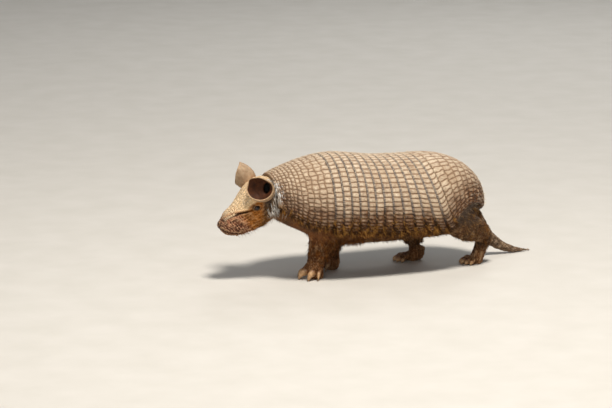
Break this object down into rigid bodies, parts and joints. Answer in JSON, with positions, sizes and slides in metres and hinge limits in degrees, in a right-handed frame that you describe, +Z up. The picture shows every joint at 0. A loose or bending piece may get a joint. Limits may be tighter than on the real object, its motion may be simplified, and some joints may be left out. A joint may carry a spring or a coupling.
{
  "type": "naked-tailed armadillo",
  "caption": "Life-size naked-tailed armadillo, still, in a walking pose, with a banded shell, wide funnel ears and a bare tail.",
  "frame": {"origin": "on the floor, below the middle of the whole animal's length and width", "axes": "+X to the head, +Y to the animal's left, +Z up"},
  "size_m": [0.5058, 0.156, 0.1757],
  "materials": {
    "shell": "matte",
    "skin": "matte",
    "ear_skin": "matte",
    "tail_skin": "matte",
    "claw": "satin",
    "eye": "gloss",
    "coat": "matte"
  },
  "bodies": {
    "root": {"scapular_shield": "shell", "band_01": "shell", "band_02": "shell", "band_03": "shell", "band_04": "shell", "band_05": "shell", "band_06": "shell", "band_07": "shell", "band_08": "shell", "band_09": "shell", "band_10": "shell", "band_11": "shell", "band_12": "shell", "band_13": "shell", "pelvic_shield": "shell", "head_shield": "shell", "trunk": "skin", "neck": "skin", "head": "skin", "ear_left": "ear_skin", "ear_right": "ear_skin", "eye_left": "eye", "eye_right": "eye", "tail_root": "tail_skin", "tail_tip": "tail_skin", "fore_leg_left": "skin", "fore_foot_left": "skin", "fore_claw_left_1": "claw", "fore_claw_left_2": "claw", "fore_claw_left_3": "claw", "fore_claw_left_4": "claw", "fore_claw_left_5": "claw", "fore_leg_right": "skin", "fore_foot_right": "skin", "fore_claw_right_1": "claw", "fore_claw_right_2": "claw", "fore_claw_right_3": "claw", "fore_claw_right_4": "claw", "fore_claw_right_5": "claw", "hind_leg_left": "skin", "hind_foot_left": "skin", "hind_claw_left_1": "claw", "hind_claw_left_2": "claw", "hind_claw_left_3": "claw", "hind_claw_left_4": "claw", "hind_claw_left_5": "claw", "hind_leg_right": "skin", "hind_foot_right": "skin", "hind_claw_right_1": "claw", "hind_claw_right_2": "claw", "hind_claw_right_3": "claw", "hind_claw_right_4": "claw", "hind_claw_right_5": "claw"}
  },
  "joints": []
}
